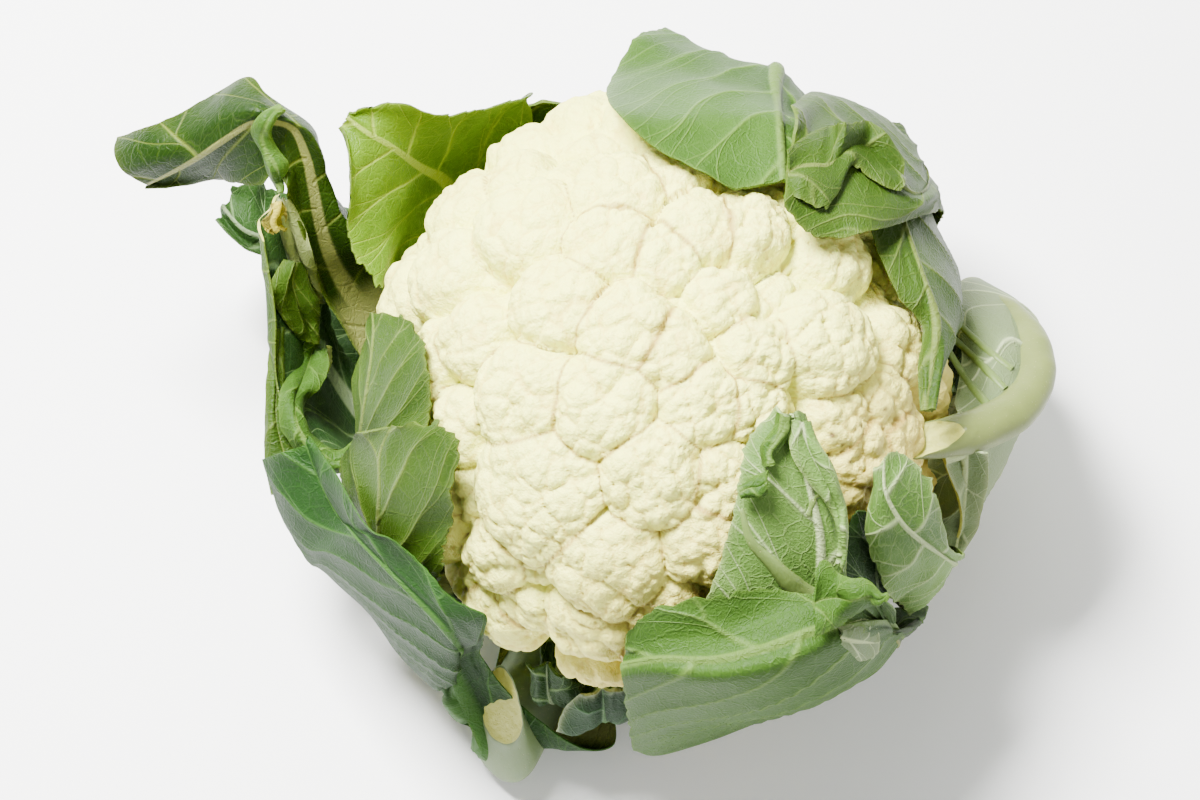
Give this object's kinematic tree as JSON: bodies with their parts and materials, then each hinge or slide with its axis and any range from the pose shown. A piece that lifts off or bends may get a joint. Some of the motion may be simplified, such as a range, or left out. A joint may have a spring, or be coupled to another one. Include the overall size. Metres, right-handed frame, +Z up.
{
  "type": "cauliflower",
  "caption": "Whole fresh cauliflower: a domed cream curd on a short cut stalk, wrapped in trimmed green leaves, one bent out to the side.",
  "frame": {"origin": "centre of the stalk's cut foot, the flat the head rests on", "axes": "+Z up out of the curd, +X to the right and +Y to the back as the picture shows the head"},
  "size_m": [0.2905, 0.2294, 0.1548],
  "materials": {
    "curd": "cream curd, soft and faintly translucent, tan in its creases",
    "stalk": "pale green stem, cream where it is cut",
    "leaf_inner_left": "satin green leaf with pale ribs, waxy blue-green on its outer face",
    "leaf_inner_upper_left": "satin green leaf with pale ribs, waxy blue-green on its outer face",
    "leaf_inner_bottom": "satin green leaf with pale ribs, waxy blue-green on its outer face",
    "leaf_inner_front": "satin green leaf with pale ribs, waxy blue-green on its outer face",
    "leaf_inner_right": "satin green leaf with pale ribs, waxy blue-green on its outer face",
    "leaf_folded_right": "satin green leaf with pale ribs, waxy blue-green on its outer face",
    "leaf_left_wrap": "satin green leaf with pale ribs, waxy blue-green on its outer face",
    "leaf_upright_right": "satin green leaf with pale ribs, waxy blue-green on its outer face",
    "leaf_top": "satin green leaf with pale ribs, waxy blue-green on its outer face",
    "leaf_side_right": "satin green leaf with pale ribs, waxy blue-green on its outer face",
    "leaf_top_right": "satin green leaf with pale ribs, waxy blue-green on its outer face",
    "leaf_flopped": "satin green leaf with pale ribs, waxy blue-green on its outer face",
    "leaf_left_broken": "satin green leaf with pale ribs, waxy blue-green on its outer face",
    "leaf_lower_right": "satin green leaf with pale ribs, waxy blue-green on its outer face",
    "leaf_cut_right": "satin green leaf with pale ribs, waxy blue-green on its outer face",
    "leaf_cut_front": "satin green leaf with pale ribs, waxy blue-green on its outer face",
    "leaf_left_back": "satin green leaf with pale ribs, waxy blue-green on its outer face",
    "leaf_back": "satin green leaf with pale ribs, waxy blue-green on its outer face"
  },
  "bodies": {
    "root": {"curd": "curd", "stalk": "stalk", "leaf_inner_left": "leaf_inner_left", "leaf_inner_upper_left": "leaf_inner_upper_left", "leaf_inner_bottom": "leaf_inner_bottom", "leaf_inner_front": "leaf_inner_front", "leaf_inner_right": "leaf_inner_right", "leaf_folded_right": "leaf_folded_right", "leaf_left_wrap": "leaf_left_wrap", "leaf_upright_right": "leaf_upright_right", "leaf_top": "leaf_top", "leaf_side_right": "leaf_side_right", "leaf_top_right": "leaf_top_right", "leaf_flopped": "leaf_flopped", "leaf_left_broken": "leaf_left_broken", "leaf_lower_right": "leaf_lower_right", "leaf_cut_right": "leaf_cut_right", "leaf_cut_front": "leaf_cut_front", "leaf_left_back": "leaf_left_back", "leaf_back": "leaf_back"}
  },
  "joints": []
}
